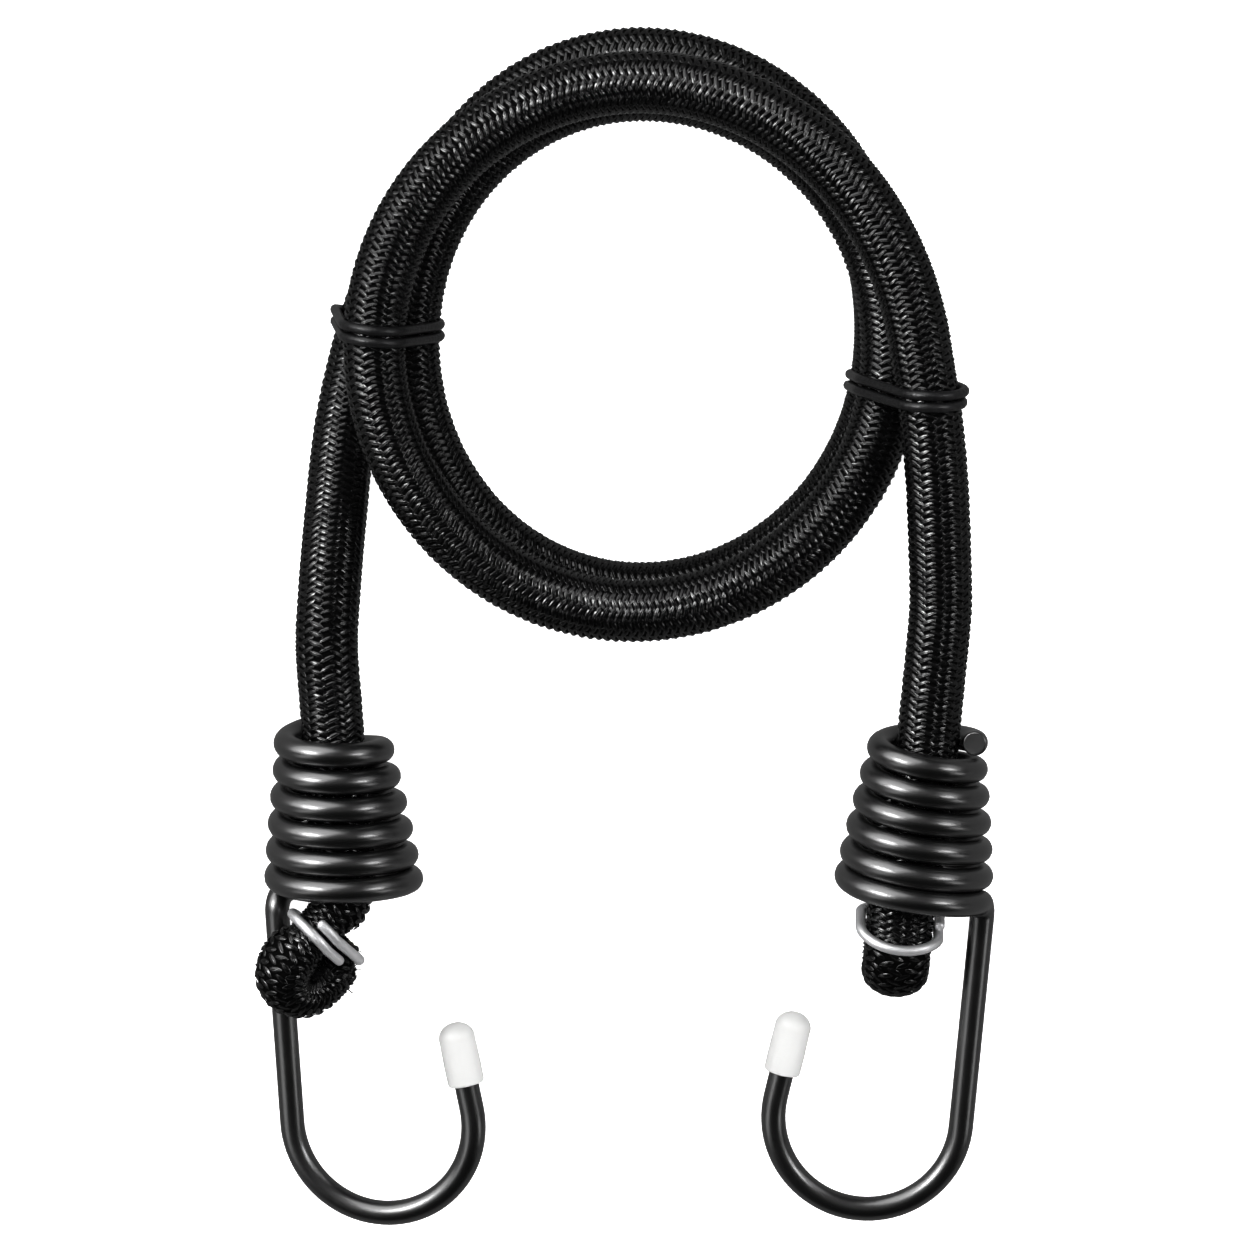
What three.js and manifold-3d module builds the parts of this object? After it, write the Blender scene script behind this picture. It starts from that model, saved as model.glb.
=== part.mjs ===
// Elastic bungee cord, wound into a loop of two and a half turns that two ties hold, with a
// coiled wire hook on each end. Sizes are in millimetres and angles in degrees. The cord lies on a
// floor at Z = 0, +Y runs from the hooks to the loop, +X is to the right seen from above.

import * as THREE from 'three';
import { mergeVertices } from 'three/addons/utils/BufferGeometryUtils.js';
import Module from 'manifold-3d';

const wasm = await Module();
wasm.setup();

// Fits
const fitGap = 0.3; // between pieces that touch
const strandGap = 0.45; // between strands of the loop that lie on each other
const turnGap = 0.45; // between neighbouring turns of a wound wire

// Cord: a braided cover over a rubber core
const cordDiameter = 12;
const coverWall = 1.6;
const restFlat = 1.2; // depth of the flat where the lowest strand lies on the floor

// Loop: the strand's radius at each quarter turn, from the left over the top. The first and last
// values only steer how the strand comes in and goes out.
const loopCentre = new THREE.Vector2(0.6, 80.9);
const loopRadii = [41, 55.1, 48.3, 47.3, 42.6, 48.5, 49.4, 50.7, 48.8, 49.5, 54.4, 76];
const loopStart = 0.139; // turns past the left side
const loopEnd = 2.5;
const climbStart = 0.75; // each turn climbs a layer from the bottom of the loop to its left side
const stepsPerTurn = 24;

// Ties: two wraps of soft cord each
const tieDiameter = 1.9;
const tieWraps = 2;
const tieClearance = 1.25; // round strands that cross the tie at a slant
const tieFloorGap = 0.2;
const tieSag = 3.2; // how far the top of a tie slips towards the hooks

// Hooks: one wire, wound into a flared coil round the cord and bent into a hook
const wireDiameter = 4.7;
const coilClearance = 0.75; // round the cord in the narrow end of the coil
const coilFlare = 4; // from the narrow radius to the wide one
const flareTurns = 5.5;
const flareCurve = 1.25; // above 1 the coil opens fastest at its narrow end
const neckRadius = 3.6; // bend from the coil into the shank
const shankLength = 44.2; // from the coil's mouth to the centre of the hook's bend
const hookRadius = 18;
const tipLean = 8; // how far the tip leans inwards
const tipLength = 15.4; // straight wire past the bend

// Caps on the hooks' tips
const capDiameter = 7;
const capLength = 12.2;
const capEndWall = 1.2;
const capLip = 0.5;

// Crimps: a ring of wire that holds the cord's folded tail
const crimpDiameter = 2;
const crimpGap = 0.6; // between the crimp's overlapping ends

// Ends: the place of each coil's mouth and its lean in plan, the way the hook is turned on the cord
// and its number of turns. The cord leaves the coil's axis at the height exit, and its tail is folded
// back along a line that leans by foldLean and rises by foldRise, with the tail beside it (a twist of
// 0) or under it (90). At the crimp each leg is crimpWidth wide and both are drawn in by squeeze. The
// crimp starts at the angle crimpStart round them. A fold with a foldLift lies over the shank.
const legThickness = 10; // the folded cord, pressed flat between its two legs
const legGap = 0.5; // between the two legs
const shankClearance = 0.3; // between a fold and the shank that it lies over
const ends = [
  {
    side: 'left',
    mouth: new THREE.Vector2(-54.3, -24.2),
    lean: 3.8,
    spin: 165,
    turns: 6.15,
    legWidth: 12,
    crimpWidth: 9.8,
    squeeze: 0.82,
    exit: 14,
    crimp: new THREE.Vector2(-3.6, -7.6),
    foldLean: 46,
    foldRise: 10,
    foldTwist: 40,
    foldLift: 6.7,
    foldRun: 6.5,
    tailRun: 2.2,
    crimpStart: 99,
    crimpTurns: 1.2,
    crimpSlant: 0,
  },
  {
    side: 'right',
    mouth: new THREE.Vector2(54.1, -24),
    lean: -5.4,
    spin: 0,
    turns: 6,
    legWidth: 12.8,
    crimpWidth: 12.8,
    squeeze: 0.88,
    exit: 14,
    crimp: new THREE.Vector2(-1.1, -5.4),
    foldLean: 0,
    foldRise: 0,
    foldTwist: 90,
    foldLift: 0,
    foldRun: 5.8,
    tailRun: 1.6,
    crimpStart: 78,
    crimpTurns: 1.08,
    crimpSlant: 1.4,
  },
];

// Free runs of the cord between the loop and the coils, from the loop down. The first and last
// stretches follow from the loop and the coil that they join.
const leftTiePoint = new THREE.Vector3(-50.2, 83, 8.4);
const leftRunPoints = [
  new THREE.Vector3(-43.1, 101.6, 7.6),
  new THREE.Vector3(-47.2, 92.3, 8.2),
  leftTiePoint,
  new THREE.Vector3(-52.5, 74.2, 8.9),
  new THREE.Vector3(-54, 66.6, 10.2),
  new THREE.Vector3(-55, 59, 12.2),
  new THREE.Vector3(-55.7, 51.3, 14.8),
  new THREE.Vector3(-56.4, 42.8, 18.2),
  new THREE.Vector3(-57, 34.2, 21.8),
];
const rightRunPoints = [
  new THREE.Vector3(58, 59, 31.3),
  new THREE.Vector3(58.6, 50.5, 29.2),
  new THREE.Vector3(59, 41, 26.8),
  new THREE.Vector3(59.2, 31.5, 24.7),
];

// Facets
const cordSides = 8;
const wireSides = 7;
const tieSides = 6;
const coilSteps = 14; // per turn of a hook's coil
const bendSteps = 12; // round a hook's bend
const foldSteps = 8; // round a folded tail
const riseSteps = 12; // from a crimp into the coil

// Values that follow from the sizes above
const cordRadius = cordDiameter / 2;
const wireRadius = wireDiameter / 2;
const tieRadius = tieDiameter / 2;
const crimpRadius = crimpDiameter / 2;
const layerRise = cordDiameter + strandGap;
const restHeight = cordRadius - restFlat;
const tieLift = tieFloorGap + tieDiameter + fitGap + restFlat;
const narrowRadius = cordRadius + coilClearance + wireRadius;
const wideRadius = narrowRadius + coilFlare;
const coilPitch = wireDiameter + turnGap;
const neckAngle = Math.atan2(neckRadius, wideRadius);
const shankOffset = Math.hypot(wideRadius, neckRadius);
const legHalfPitch = (legThickness + legGap) / 2;
const crimpPitch = crimpDiameter + crimpGap;
const up = new THREE.Vector3(0, 0, 1);

const radians = THREE.MathUtils.degToRad;

// Points with their directions and full section sizes, for a tube
function stationsAlong(points, width, height = width) {
  return points.map((point, i) => {
    const before = points[Math.max(i - 1, 0)];
    const after = points[Math.min(i + 1, points.length - 1)];
    const tangent = new THREE.Vector3().subVectors(after, before).normalize();
    return { point, tangent, width, height };
  });
}

// A closed tube through the stations, drawn in by inset all round. With a bore, which is the depth
// from the stations' section to the inner wall, it is hollow and open at both ends.
function sweep(stations, { sides, firstSide, inset = 0, bore = 0 }) {
  const positions = [];
  const triangles = [];
  let side = firstSide.clone();

  for (const { point, tangent, width, height } of stations) {
    side = side.clone().addScaledVector(tangent, -side.dot(tangent)).normalize();
    const other = new THREE.Vector3().crossVectors(tangent, side);
    for (const depth of bore ? [inset, bore] : [inset]) {
      for (let k = 0; k < sides; k++) {
        const angle = (2 * Math.PI * (k + 0.5)) / sides;
        const corner = point.clone();
        corner.addScaledVector(side, (width / 2 - depth) * Math.cos(angle));
        corner.addScaledVector(other, (height / 2 - depth) * Math.sin(angle));
        positions.push(corner.x, corner.y, corner.z);
      }
    }
  }

  const walls = bore ? 2 : 1;
  const last = stations.length - 1;
  const corner = (i, k, wall) => (i * walls + wall) * sides + (k % sides);
  const quad = (a, b, c, d) => triangles.push(a, b, c, a, c, d);

  for (let k = 0; k < sides; k++) {
    for (let i = 0; i < last; i++) {
      quad(corner(i, k, 0), corner(i, k + 1, 0), corner(i + 1, k + 1, 0), corner(i + 1, k, 0));
      if (bore) {
        quad(corner(i, k, 1), corner(i + 1, k, 1), corner(i + 1, k + 1, 1), corner(i, k + 1, 1));
      }
    }
    if (bore) {
      quad(corner(0, k + 1, 0), corner(0, k, 0), corner(0, k, 1), corner(0, k + 1, 1));
      quad(corner(last, k, 0), corner(last, k + 1, 0), corner(last, k + 1, 1), corner(last, k, 1));
    }
  }
  for (let k = 1; k < sides - 1 && !bore; k++) {
    triangles.push(corner(0, 0, 0), corner(0, k + 1, 0), corner(0, k, 0));
    triangles.push(corner(last, 0, 0), corner(last, k, 0), corner(last, k + 1, 0));
  }

  const geometry = new THREE.BufferGeometry();
  geometry.setAttribute('position', new THREE.Float32BufferAttribute(positions, 3));
  geometry.setIndex(triangles);
  geometry.computeVertexNormals();
  return geometry;
}

// The least distance between a tube's surface and its own other turns, on its centreline's points
function leastGap(points, diameter, apart) {
  let least = Infinity;
  for (let i = 0; i < points.length; i++) {
    for (let k = i + apart; k < points.length; k++) {
      least = Math.min(least, points[i].distanceTo(points[k]));
    }
  }
  return least - diameter;
}

function printGap(name, points, diameter, apart) {
  console.log(`${name}: least gap to itself ${leastGap(points, diameter, apart).toFixed(2)} mm`);
}

// What lies below the floor is cut away
function cutAtFloor(geometry, depth) {
  const toSolid = (source) => {
    const bare = source.clone();
    bare.deleteAttribute('normal');
    bare.deleteAttribute('uv');
    const merged = mergeVertices(bare);
    const vertProperties = new Float32Array(merged.attributes.position.array);
    const triVerts = new Uint32Array(merged.index.array);
    return new wasm.Manifold(new wasm.Mesh({ numProp: 3, vertProperties, triVerts }));
  };
  geometry.computeBoundingBox();
  const size = geometry.boundingBox.getSize(new THREE.Vector3());
  const centre = geometry.boundingBox.getCenter(new THREE.Vector3());
  const floor = new THREE.BoxGeometry(2 * size.x, 2 * size.y, 2 * depth);
  floor.translate(centre.x, centre.y, -depth);
  const mesh = toSolid(geometry).subtract(toSolid(floor)).getMesh();
  const result = new THREE.BufferGeometry();
  result.setAttribute('position', new THREE.Float32BufferAttribute(mesh.vertProperties, 3));
  result.setIndex(Array.from(mesh.triVerts));
  result.computeVertexNormals();
  return result;
}

// Materials
const coverFinish = { color: 0x101011, roughness: 0.55, metalness: 0 };
const coreFinish = { color: 0x2b2824, roughness: 0.8, metalness: 0 };
const tieFinish = { color: 0x1c1c1e, roughness: 0.7, metalness: 0 };
const wireFinish = { color: 0x0a0a0b, roughness: 0.15, metalness: 0.1 };
const capFinish = { color: 0xf0f0ee, roughness: 0.5, metalness: 0 };
const crimpFinish = { color: 0xb9babd, roughness: 0.35, metalness: 1 };

const bungee = new THREE.Group();

function addPiece(parent, name, geometry, finish) {
  const mesh = new THREE.Mesh(geometry, new THREE.MeshStandardMaterial(finish));
  mesh.name = name;
  parent.add(mesh);
  return mesh;
}

// Cover and core of one stretch of cord
function addCord(parent, name, stations, firstSide) {
  const sides = cordSides;
  const cover = sweep(stations, { sides, firstSide, bore: coverWall });
  const core = sweep(stations, { sides, firstSide, inset: coverWall + fitGap });
  const lowest = Math.min(...cover.attributes.position.array.filter((_, i) => i % 3 === 2));
  const onFloor = parent === bungee && lowest < 0;
  addPiece(parent, `${name}_cover`, onFloor ? cutAtFloor(cover, restFlat) : cover, coverFinish);
  addPiece(parent, `${name}_core`, core, coreFinish);
}

// Loop
const radiusCurve = new THREE.SplineCurve(loopRadii.map((r, i) => new THREE.Vector2(i, r)));
const loopQuarters = loopRadii.length - 1;

function loopPoint(turn) {
  const angle = Math.PI - 2 * Math.PI * turn;
  const radius = radiusCurve.getPoint((4 * turn) / loopQuarters).y;
  const climb = THREE.MathUtils.smoothstep(turn % 1, climbStart, 1);
  const layer = Math.floor(turn) + climb;
  const height = restHeight + layer * layerRise + tieLift * Math.cos(angle) ** 2;
  return new THREE.Vector3(
    loopCentre.x + radius * Math.cos(angle),
    loopCentre.y + radius * Math.sin(angle),
    height,
  );
}

function loopTangent(turn) {
  const step = 1e-4;
  return loopPoint(turn + step).sub(loopPoint(turn - step)).normalize();
}

const loopSteps = Math.round((loopEnd - loopStart) * stepsPerTurn);
const loopTurns = Array.from(
  { length: loopSteps + 1 },
  (_, i) => loopStart + ((loopEnd - loopStart) * i) / loopSteps,
);
const loopStations = loopTurns.map((turn) => ({
  point: loopPoint(turn),
  tangent: loopTangent(turn),
  width: cordDiameter,
  height: cordDiameter,
}));
addCord(bungee, 'loop', loopStations, up);
printGap('loop', loopStations.map((s) => s.point), cordDiameter, stepsPerTurn / 2);

// Frame of a hook's coil: its mouth at the origin, the narrow end towards +Y, the floor below -Z.
// The coil's last turn and the hook below it both rest on the floor, which sets the tilt.
function coilPoint(turnsLeft) {
  const angle = neckAngle + 2 * Math.PI * turnsLeft;
  const flare = 1 - Math.min(turnsLeft / flareTurns, 1) ** flareCurve;
  const radius = narrowRadius + coilFlare * flare;
  return new THREE.Vector3(
    radius * Math.cos(angle),
    coilPitch * turnsLeft,
    radius * Math.sin(angle),
  );
}

function makeEndFrame({ mouth, lean, spin, turns }) {
  const turned = radians(spin);
  const lowestTurn = (turned - Math.PI / 2 - neckAngle) / (2 * Math.PI);
  const lowest = coilPoint(lowestTurn - Math.floor(lowestTurn));
  const drop = Math.hypot(lowest.x, lowest.z);
  const hook = hookPath(turns).points.filter(({ y }) => y < -shankLength / 2);
  const tilt = Math.min(...hook.map(({ x, y, z }) => {
    const height = z * Math.cos(turned) - x * Math.sin(turned);
    return Math.atan2(drop + height, lowest.y - y);
  }));
  const height = drop * Math.cos(tilt) + wireRadius - lowest.y * Math.sin(tilt);
  const frame = new THREE.Group();
  frame.position.set(mouth.x, mouth.y, height);
  frame.rotation.set(tilt, 0, radians(lean), 'ZXY');
  frame.updateMatrixWorld();
  return frame;
}

// Hook wire, from its cut end round the coil, down the shank and round the bend to the tip
function hookPath(turns) {
  const points = [];
  const coilCount = Math.round(turns * coilSteps);
  for (let i = 0; i <= coilCount; i++) {
    points.push(coilPoint(turns * (1 - i / coilCount)));
  }
  const coil = points.slice();

  const neckStart = points.at(-1);
  const ahead = new THREE.Vector3(Math.sin(neckAngle), 0, -Math.cos(neckAngle));
  for (const angle of [30, 60, 90].map(radians)) {
    const point = neckStart.clone().addScaledVector(ahead, neckRadius * Math.sin(angle));
    point.y -= neckRadius * (1 - Math.cos(angle));
    points.push(point);
  }

  const bendCentre = new THREE.Vector3(shankOffset - hookRadius, -shankLength, 0);
  const sweepAngle = Math.PI + radians(tipLean);
  for (let i = 0; i <= bendSteps; i++) {
    const angle = (-sweepAngle * i) / bendSteps;
    const arm = new THREE.Vector3(Math.cos(angle), Math.sin(angle), 0);
    points.push(bendCentre.clone().addScaledVector(arm, hookRadius));
  }
  const tipDirection = new THREE.Vector3(Math.sin(radians(tipLean)), Math.cos(radians(tipLean)), 0);
  points.push(points.at(-1).clone().addScaledVector(tipDirection, tipLength));
  return { points, coil, tip: points.at(-1), tipDirection };
}

function capGeometry() {
  const bore = wireRadius + fitGap;
  const radius = capDiameter / 2;
  const dome = radius * 0.55;
  const profile = new THREE.Path();
  profile.moveTo(0, capLength - capEndWall);
  profile.lineTo(bore, capLength - capEndWall);
  profile.lineTo(bore, 0);
  profile.lineTo(radius - capLip, 0);
  profile.quadraticCurveTo(radius, 0, radius, capLip);
  profile.lineTo(radius, capLength - dome);
  profile.absellipse(0, capLength - dome, radius, dome, 0, Math.PI / 2, false);
  const repeats = (point, i, all) => i > 0 && point.distanceTo(all[i - 1]) < 1e-4;
  const outline = profile.getPoints(4).filter((point, i, all) => !repeats(point, i, all));
  outline.at(-1).x = 0;
  return new THREE.LatheGeometry(outline, 2 * wireSides);
}

function addHook(frame, { side, spin, turns }) {
  const hook = new THREE.Group();
  hook.rotation.y = radians(spin);
  frame.add(hook);
  const { points, coil, tip, tipDirection } = hookPath(turns);
  const stations = stationsAlong(points, wireDiameter);
  const wire = sweep(stations, { sides: wireSides, firstSide: new THREE.Vector3(0, 1, 0) });
  addPiece(hook, `${side}_hook`, wire, wireFinish);
  printGap(`${side} hook's coil`, coil, wireDiameter, coilSteps / 2);

  const cap = addPiece(hook, `${side}_tip_cap`, capGeometry(), capFinish);
  cap.position.copy(tip).addScaledVector(tipDirection, fitGap + capEndWall - capLength);
  cap.quaternion.setFromUnitVectors(new THREE.Vector3(0, 1, 0), tipDirection);
}

// Outline of a band drawn tight round ellipses of half sizes a and b, as [u, w] pairs. It starts at
// the angle first and goes round by sweepAngle.
function bandOutline(centres, a, b, standOff, first, sweepAngle, steps) {
  const outline = [];
  for (let i = 0; i <= steps; i++) {
    const angle = first + (sweepAngle * i) / steps;
    const n = new THREE.Vector2(Math.cos(angle), Math.sin(angle));
    const reach = Math.hypot(a * n.x, b * n.y);
    const outermost = centres.reduce((best, c) => (c.dot(n) > best.dot(n) + 1e-6 ? c : best));
    const point = outermost.clone().addScaledVector(n, standOff);
    point.x += (a * a * n.x) / reach;
    point.y += (b * b * n.y) / reach;
    outline.push(point);
  }
  return outline;
}

// Frame of a folded tail, in the coil's frame: along runs from the coil to the fold, across runs
// from the cord's leg to the tail's leg, and face is square to both.
function foldFrame({ spin, crimp, foldLean, foldRise, foldTwist, foldRun, foldLift }) {
  const lean = radians(foldLean);
  const rise = radians(foldRise);
  const twist = radians(foldTwist);
  const level = new THREE.Vector3(Math.cos(lean), -Math.sin(lean), 0);
  const along = new THREE.Vector3(-Math.sin(lean), -Math.cos(lean), 0).multiplyScalar(Math.cos(rise));
  along.z = Math.sin(rise);
  const upright = new THREE.Vector3().crossVectors(along, level);
  const across = level.multiplyScalar(Math.cos(twist)).addScaledVector(upright, -Math.sin(twist));
  const face = new THREE.Vector3().crossVectors(along, across);
  const shankTop = wireRadius - shankOffset * Math.sin(radians(spin));
  const foldHeight = foldLift ? shankTop + shankClearance + foldLift : -crimpRadius;
  const height = foldHeight - foldRun * along.z;
  return { along, across, face, centre: new THREE.Vector3(crimp.x, crimp.y, height) };
}

// Cord end, from the tail's cut, round the fold and up through the coil
function endStations(end, fold, top) {
  const { legWidth, crimpWidth, squeeze, exit, foldRun, tailRun, crimpTurns } = end;
  const { along, across, centre } = fold;
  const at = (acrossBy, alongBy) => centre.clone()
    .addScaledVector(across, acrossBy).addScaledVector(along, alongBy);
  const crimpReach = crimpRadius + (crimpPitch * crimpTurns) / 2; // drawn in on both sides
  const legStation = (sign, alongBy) => {
    const free = THREE.MathUtils.smoothstep(alongBy, crimpReach, foldRun);
    const share = THREE.MathUtils.lerp(squeeze, 1, free);
    const width = THREE.MathUtils.lerp(crimpWidth, legWidth, free);
    return { point: at(sign * share * legHalfPitch, alongBy), width, height: legThickness * share };
  };
  const legPlaces = [0, 0.25, 0.5, 0.75].map((t) => crimpReach + (foldRun - crimpReach) * t);

  const route = [-tailRun, 0, ...legPlaces].map((place) => legStation(1, place));
  for (let i = 0; i <= foldSteps; i++) {
    const angle = (Math.PI * i) / foldSteps;
    const point = at(legHalfPitch * Math.cos(angle), foldRun + legHalfPitch * Math.sin(angle));
    route.push({ point, width: legWidth, height: legThickness });
  }
  route.push(...legPlaces.toReversed().map((place) => legStation(-1, place)), legStation(-1, 0));

  const onAxis = (y) => new THREE.Vector3(0, y, 0);
  const riseStart = legStation(-1, -crimpReach).point;
  const reach = 0.4 * riseStart.distanceTo(onAxis(exit));
  const rise = new THREE.CubicBezierCurve3(
    riseStart,
    riseStart.clone().addScaledVector(along, -reach),
    onAxis(exit - reach),
    onAxis(exit),
  );
  for (let i = 0; i <= riseSteps; i++) {
    const t = i / riseSteps;
    const swell = THREE.MathUtils.smoothstep(t, 0, 0.6);
    route.push({
      point: rise.getPoint(t),
      width: THREE.MathUtils.lerp(crimpWidth, cordDiameter, swell),
      height: THREE.MathUtils.lerp(legThickness * squeeze, cordDiameter, swell),
    });
  }
  for (const y of [(exit + top) / 2, top]) {
    route.push({ point: onAxis(y), width: cordDiameter, height: cordDiameter });
  }
  const bare = stationsAlong(route.map(({ point }) => point), cordDiameter);
  return bare.map((station, i) => ({ ...station, ...route[i] }));
}

// Crimp ring round both legs, its ends lying side by side
function addCrimp(frame, end, fold) {
  const { along, across, face, centre } = fold;
  const standOff = fitGap + crimpRadius;
  const half = legHalfPitch * end.squeeze;
  const legs = [-half, half].map((u) => new THREE.Vector2(u, 0));
  const a = (legThickness / 2) * end.squeeze;
  const b = end.crimpWidth / 2;
  const sweepAngle = 2 * Math.PI * end.crimpTurns;
  const steps = Math.round(24 * end.crimpTurns);
  const outline = bandOutline(legs, a, b, standOff, radians(end.crimpStart), sweepAngle, steps);
  const topReach = half + a + standOff;
  const points = outline.map(({ x, y }, i) => {
    const shift = crimpPitch * end.crimpTurns * (0.5 - i / steps);
    const slant = end.crimpSlant * (Math.max(0, -x) / topReach) ** 2;
    return centre.clone().addScaledVector(across, x).addScaledVector(face, y)
      .addScaledVector(along, shift + slant);
  });
  const stations = stationsAlong(points, crimpDiameter);
  const ring = sweep(stations, { sides: tieSides, firstSide: along });
  addPiece(frame, `${end.side}_crimp`, ring, crimpFinish);
  printGap(`${end.side} crimp`, points, crimpDiameter, Math.round(outline.length / 2));
}

// Hooks, folded cord ends and crimps, in the frame of each coil
const runStarts = {};
for (const end of ends) {
  const frame = makeEndFrame(end);
  bungee.add(frame);
  addHook(frame, end);
  const top = coilPitch * end.turns + wireDiameter;
  const fold = foldFrame(end);
  addCord(frame, `${end.side}_end`, endStations(end, fold, top), fold.face);
  addCrimp(frame, end, fold);
  runStarts[end.side] = [top + fitGap, top + fitGap + cordDiameter]
    .map((y) => frame.localToWorld(new THREE.Vector3(0, y, 0)));
}

// Section of the cord's cover or core, for a straight-sided tube along a path
function cordSection(outer, inner) {
  const ring = (radius) => Array.from({ length: cordSides }, (_, k) => {
    const angle = (2 * Math.PI * (k + 0.5)) / cordSides;
    return new THREE.Vector2(radius * Math.cos(angle), radius * Math.sin(angle));
  });
  const section = new THREE.Shape(ring(outer));
  if (inner) section.holes.push(new THREE.Path(ring(inner)));
  return section;
}

function addRun(name, points, steps) {
  const extrudePath = new THREE.CatmullRomCurve3(points, false, 'catmullrom');
  const options = { extrudePath, steps };
  const boreRadius = cordRadius - coverWall;
  const cover = new THREE.ExtrudeGeometry(cordSection(cordRadius, boreRadius), options);
  const core = new THREE.ExtrudeGeometry(cordSection(boreRadius - fitGap), options);
  addPiece(bungee, `${name}_cover`, cover, coverFinish);
  addPiece(bungee, `${name}_core`, core, coreFinish);
}

const loopIn = loopTangent(loopStart);
const loopOut = loopTangent(loopEnd);
const leftJoin = loopPoint(loopStart).addScaledVector(loopIn, -fitGap);
const rightJoin = loopPoint(loopEnd).addScaledVector(loopOut, fitGap);
addRun('left_run', [
  leftJoin,
  leftJoin.clone().addScaledVector(loopIn, -cordDiameter),
  ...leftRunPoints,
  ...runStarts.left.toReversed(),
], 18);
addRun('right_run', [
  rightJoin,
  rightJoin.clone().addScaledVector(loopOut, cordDiameter),
  ...rightRunPoints,
  ...runStarts.right.toReversed(),
], 12);

// Ties: each goes round the three strands that pass its place
function addTie(name, strands, acrossAngle) {
  const across = new THREE.Vector3(Math.cos(acrossAngle), Math.sin(acrossAngle), 0);
  const along = new THREE.Vector3().crossVectors(across, up);
  const origin = strands[0];
  const centres = strands.map((p) => new THREE.Vector2(p.clone().sub(origin).dot(across), p.z));
  const reach = cordRadius;
  const standOff = fitGap + tieRadius;
  const turn = 2 * Math.PI;
  const wound = tieWraps * turn;
  const slack = tieClearance - fitGap;
  const outline = bandOutline(centres, reach + slack, reach, standOff, -turn / 6, wound, tieWraps * 24);
  const heights = centres.map((c) => c.y);
  const middle = (Math.min(...heights) + Math.max(...heights)) / 2;
  const half = Math.max(...heights) + reach - middle;
  const pitch = tieDiameter + turnGap;
  const points = outline.map(({ x, y }, i) => {
    const shift = pitch * tieWraps * (i / (outline.length - 1) - 0.5);
    const slip = (tieSag * Math.max(0, y - middle)) / half;
    const point = origin.clone().addScaledVector(across, x).addScaledVector(along, shift + slip);
    point.z = y;
    return point;
  });
  const stations = stationsAlong(points, tieDiameter);
  addPiece(bungee, name, sweep(stations, { sides: tieSides, firstSide: along }), tieFinish);
  printGap(name, points, tieDiameter, 12);
}

const leftTieTurn = 0.007; // past the left side
const rightTieTurn = 0.026; // past the right side
const rightTieReach = cordDiameter; // along the run from the loop's end
addTie('left_tie', [leftTiePoint, loopPoint(1 + leftTieTurn), loopPoint(2 + leftTieTurn)], 0);
addTie('right_tie', [
  loopPoint(0.5 + rightTieTurn),
  loopPoint(1.5 + rightTieTurn),
  rightJoin.clone().addScaledVector(loopOut, rightTieReach),
], -2 * Math.PI * rightTieTurn);

export default bungee;
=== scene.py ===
import random
from bisect import bisect_right
from math import atan2, cos, floor, hypot, pi, radians, sin, sqrt

import bpy
from mathutils import Matrix, Vector


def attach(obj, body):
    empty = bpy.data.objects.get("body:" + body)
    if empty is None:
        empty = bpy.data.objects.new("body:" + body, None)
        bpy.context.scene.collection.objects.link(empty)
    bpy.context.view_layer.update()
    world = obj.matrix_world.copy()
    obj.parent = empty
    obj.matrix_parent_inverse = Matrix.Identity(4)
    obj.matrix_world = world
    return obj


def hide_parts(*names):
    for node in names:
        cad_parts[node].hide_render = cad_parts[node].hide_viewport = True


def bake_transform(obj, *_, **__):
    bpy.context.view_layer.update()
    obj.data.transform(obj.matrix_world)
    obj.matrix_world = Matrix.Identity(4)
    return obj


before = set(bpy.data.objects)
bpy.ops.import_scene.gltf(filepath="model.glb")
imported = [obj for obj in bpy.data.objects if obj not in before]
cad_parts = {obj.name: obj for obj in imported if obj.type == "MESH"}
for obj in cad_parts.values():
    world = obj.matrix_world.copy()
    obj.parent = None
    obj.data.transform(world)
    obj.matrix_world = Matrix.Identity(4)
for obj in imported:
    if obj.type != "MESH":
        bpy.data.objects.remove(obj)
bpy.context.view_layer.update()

up = Vector((0, 0, 1))
sides = ("left", "right")


# Camera: straight above the floor, with a long lens

camera = {
    "aim": (-0.0004, 0.0271),
    "height": 2.4,
    "frameWidth": 0.2389,  # at the height of the cord's middle
    "frameHeight": 0.018,
    "sensor": 36,
}

cameraData = bpy.data.cameras.new("camera")
cameraData.sensor_width = camera["sensor"]
cameraData.lens = camera["sensor"] * (camera["height"] - camera["frameHeight"]) / camera["frameWidth"]
cameraObject = bpy.data.objects.new("camera", cameraData)
cameraObject.location = (*camera["aim"], camera["height"])
bpy.context.collection.objects.link(cameraObject)
bpy.context.scene.camera = cameraObject
print("camera", round(cameraData.lens), "mm")


# Route of the cord, in metres, from the left tail's cut to the right tail's cut

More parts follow.
